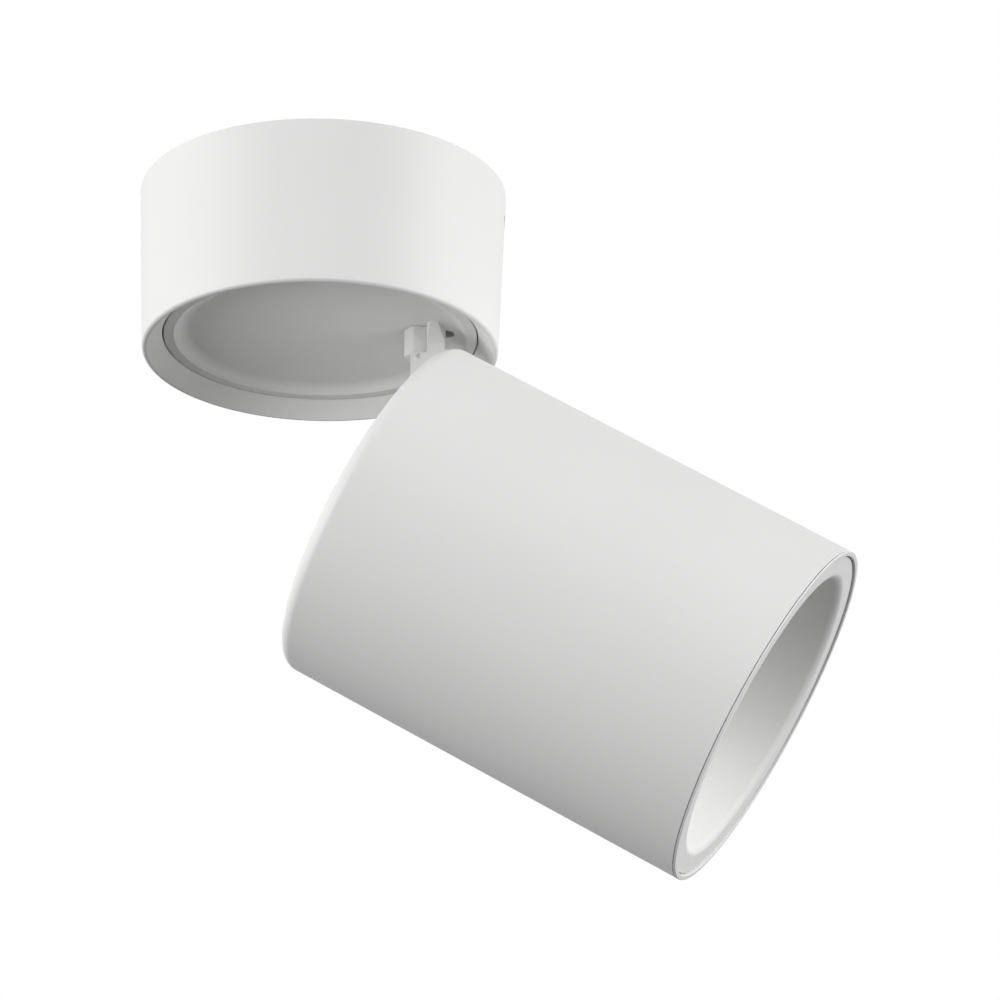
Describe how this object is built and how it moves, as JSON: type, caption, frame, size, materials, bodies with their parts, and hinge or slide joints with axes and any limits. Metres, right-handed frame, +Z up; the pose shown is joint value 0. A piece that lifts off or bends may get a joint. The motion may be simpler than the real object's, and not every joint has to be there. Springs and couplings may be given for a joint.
{
  "type": "surface mounted ceiling spotlight",
  "caption": "White surface mounted ceiling spotlight: a round drum with a turntable in its underside carries a cylindrical head on a small cast hinge arm.",
  "frame": {"origin": "centre of the cable hole in the ceiling bracket, at the ceiling face", "axes": "+Z points up into the ceiling along the drum's axis, +X is the side towards which the head tilts, and the hinge's axis lies along Y"},
  "size_m": [0.1953, 0.1, 0.1949],
  "materials": {
    "white_cast": "white powder coat, fine grain, satin",
    "white_baffle": "white powder coat, matt",
    "raw_aluminium": "as cast and machined",
    "zinc_steel": "zinc plated",
    "spring_steel": "spring temper",
    "brass": "plain",
    "nylon": "natural nylon",
    "fibre": "vulcanised fibre",
    "grommet_rubber": "soft",
    "terminal_plastic": "polyamide",
    "driver_plastic": "fine texture",
    "board": "green solder resist",
    "transformer_tape": "yellow tape",
    "capacitor_sleeve": "dark sleeve",
    "mains_pvc": "brown insulation",
    "earth_pvc": "green and yellow insulation",
    "lead_pvc": "thin white insulation",
    "thermal_grey": "silicone pad",
    "led_ceramic": "white ceramic",
    "phosphor": "phosphor under silicone",
    "holder_white": "white polymer",
    "reflector_metal": "bright anodised",
    "opal": "opal diffusing sheet"
  },
  "bodies": {
    "base": {"base_drum": "white_cast", "stop_pin": "zinc_steel", "ceiling_bracket": "zinc_steel", "side_screws": "zinc_steel", "earth_tag": "brass", "earth_screw": "zinc_steel", "driver_case": "driver_plastic", "driver_lid": "driver_plastic", "driver_screws": "zinc_steel", "driver_board": "board", "driver_transformer": "transformer_tape", "driver_capacitors": "capacitor_sleeve", "terminal_block": "terminal_plastic", "terminal_screws": "zinc_steel", "terminal_fixing": "zinc_steel", "mains_leads": "mains_pvc", "earth_lead": "earth_pvc", "output_leads": "lead_pvc"},
    "turntable": {"turntable_dish": "white_cast", "slip_washer": "nylon", "fibre_washer": "fibre", "disc_spring": "spring_steel", "hub_washer": "zinc_steel", "hub_nut": "zinc_steel", "hub_grommet": "grommet_rubber", "hinge_arm": "white_cast", "arm_nut": "white_cast", "arm_screw": "zinc_steel", "arm_leads": "lead_pvc"},
    "head": {"head_shell": "white_cast", "hinge_cheeks": "zinc_steel", "hinge_screws": "zinc_steel", "pivot_pin": "zinc_steel", "pivot_washers": "nylon", "pivot_springs": "spring_steel", "heat_sink": "raw_aluminium", "heat_sink_screws": "zinc_steel", "thermal_pad": "thermal_grey", "led_module": "led_ceramic", "led_emitter": "phosphor", "led_holder": "holder_white", "led_holder_screws": "zinc_steel", "reflector_cup": "reflector_metal", "diffuser": "opal", "baffle": "white_baffle", "baffle_clips": "spring_steel", "front_ring": "white_cast", "head_leads": "lead_pvc"}
  },
  "joints": [
    {"name": "swivel", "type": "hinge", "parent": "base", "child": "turntable", "pos_m": [0, 0, -0.033], "axis": [0, 0, 1], "range_deg": [-170, 170]},
    {"name": "tilt", "type": "hinge", "parent": "turntable", "child": "head", "pos_m": [0.0426, 0, -0.0585], "axis": [0, -1, 0], "range_deg": [-60.3, 29.7]}
  ]
}
